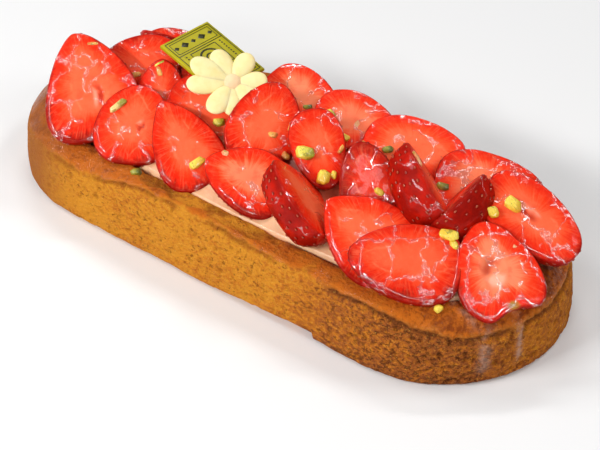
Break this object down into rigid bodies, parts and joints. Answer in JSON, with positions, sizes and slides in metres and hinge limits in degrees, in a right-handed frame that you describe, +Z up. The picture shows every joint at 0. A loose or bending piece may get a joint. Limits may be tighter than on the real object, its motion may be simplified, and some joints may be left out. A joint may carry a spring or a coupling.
{
  "type": "strawberry slab tart",
  "caption": "Oblong slab tart with round ends: browned crust, pale pink cream, glazed halved strawberries, pistachio nibs, a white chocolate flower and a flat green chocolate plaque.",
  "frame": {"origin": "on the ground under the middle of the slab", "axes": "+X along the slab to its darker end, +Y to the long side away from the viewer, +Z up"},
  "size_m": [0.228, 0.092, 0.0602],
  "materials": {
    "crust": "golden brown baked shortcrust, rough and pitted, darker and glazed at the rim",
    "cream": "pale pink cream with a soft sheen",
    "strawberry": "cut strawberry, red with paler flesh inside, under clear glaze",
    "white_chocolate": "smooth ivory chocolate",
    "green_chocolate": "satin yellow-green chocolate with a dark print",
    "pistachio": "chopped pistachio, yellow to green"
  },
  "bodies": {
    "root": {"crust": "crust", "cream": "cream", "strawberry_rear_1": "strawberry", "strawberry_rear_2": "strawberry", "strawberry_rear_3": "strawberry", "strawberry_rear_4": "strawberry", "strawberry_rear_5": "strawberry", "strawberry_rear_6": "strawberry", "strawberry_back_1": "strawberry", "strawberry_back_2": "strawberry", "strawberry_back_3": "strawberry", "strawberry_back_4": "strawberry", "strawberry_back_5": "strawberry", "strawberry_back_6": "strawberry", "strawberry_middle_1": "strawberry", "strawberry_middle_2": "strawberry", "strawberry_middle_3": "strawberry", "strawberry_middle_4": "strawberry", "strawberry_middle_5": "strawberry", "strawberry_middle_6": "strawberry", "strawberry_middle_7": "strawberry", "strawberry_middle_8": "strawberry", "strawberry_end": "strawberry", "strawberry_front_1": "strawberry", "strawberry_front_2": "strawberry", "strawberry_front_3": "strawberry", "strawberry_front_4": "strawberry", "strawberry_front_5": "strawberry", "strawberry_front_6": "strawberry", "strawberry_front_7": "strawberry", "strawberry_front_8": "strawberry", "flower": "white_chocolate", "plaque": "green_chocolate"}
  },
  "joints": []
}
